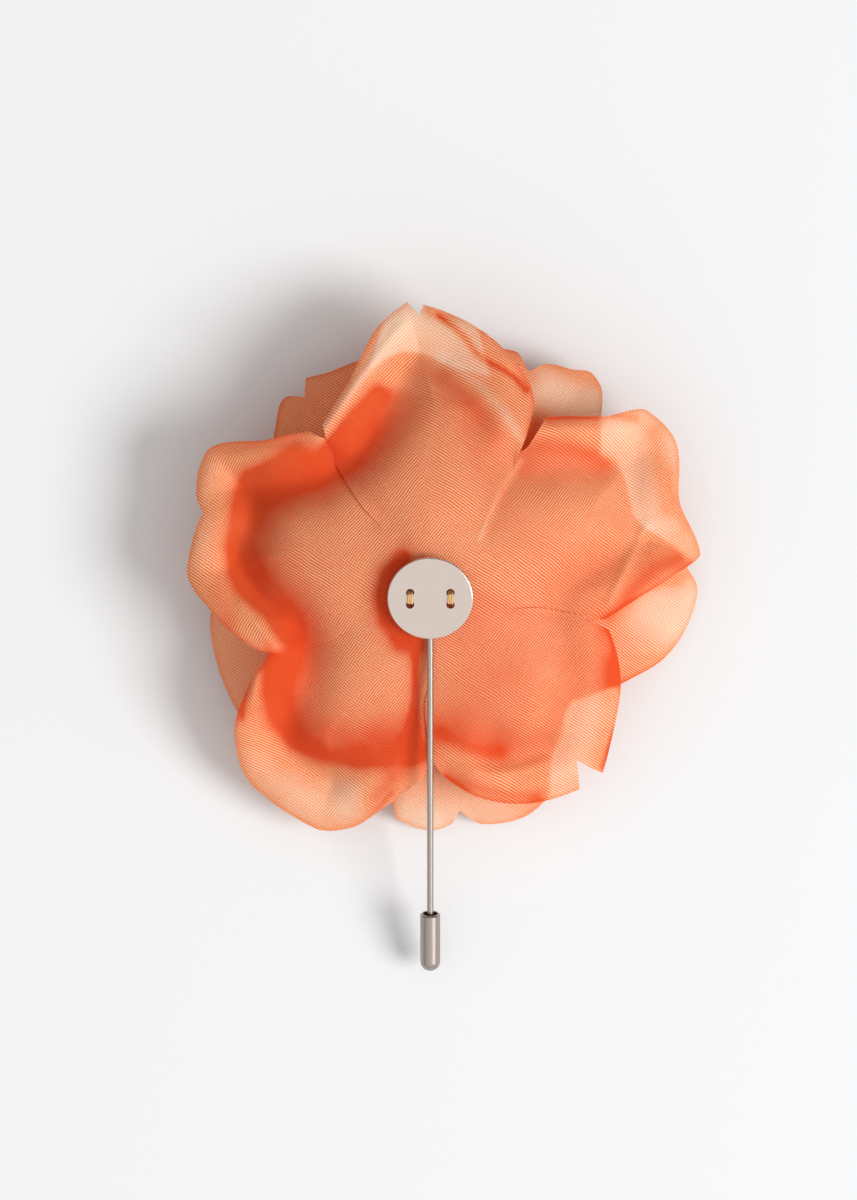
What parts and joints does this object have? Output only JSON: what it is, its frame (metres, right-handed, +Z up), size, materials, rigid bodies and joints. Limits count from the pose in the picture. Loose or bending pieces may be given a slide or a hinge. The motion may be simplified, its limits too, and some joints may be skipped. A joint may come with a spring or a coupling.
{
  "type": "flower lapel pin",
  "caption": "Silk flower lapel pin lying face down, with layered petals, a rolled bud, a sewn-on metal disc, a long straight pin and a push-on clutch.",
  "frame": {"origin": "on the surface the flower lies on, under the middle of its outline", "axes": "+Z up from the surface, the flower facing down; +Y from the pin's tip towards the top petal; +X to the right as seen from above"},
  "size_m": [0.1026, 0.134, 0.0353],
  "materials": {
    "petal_silk": "satin",
    "inner_silk": "satin",
    "pin_metal": "satin",
    "clutch_metal": "satin",
    "grip_rubber": "matte",
    "thread": "satin"
  },
  "bodies": {
    "flower": {"back_petals": "petal_silk", "second_petals": "petal_silk", "third_petals": "inner_silk", "fourth_petals": "inner_silk", "bud": "inner_silk", "pin_back": "pin_metal"},
    "clutch": {"clutch_shell": "clutch_metal", "clutch_grip": "grip_rubber"}
  },
  "joints": [
    {"name": "clutch_slide", "type": "slide", "parent": "flower", "child": "clutch", "axis": [0, -0.9455, -0.3256], "range_m": [0, 0.0085]}
  ]
}
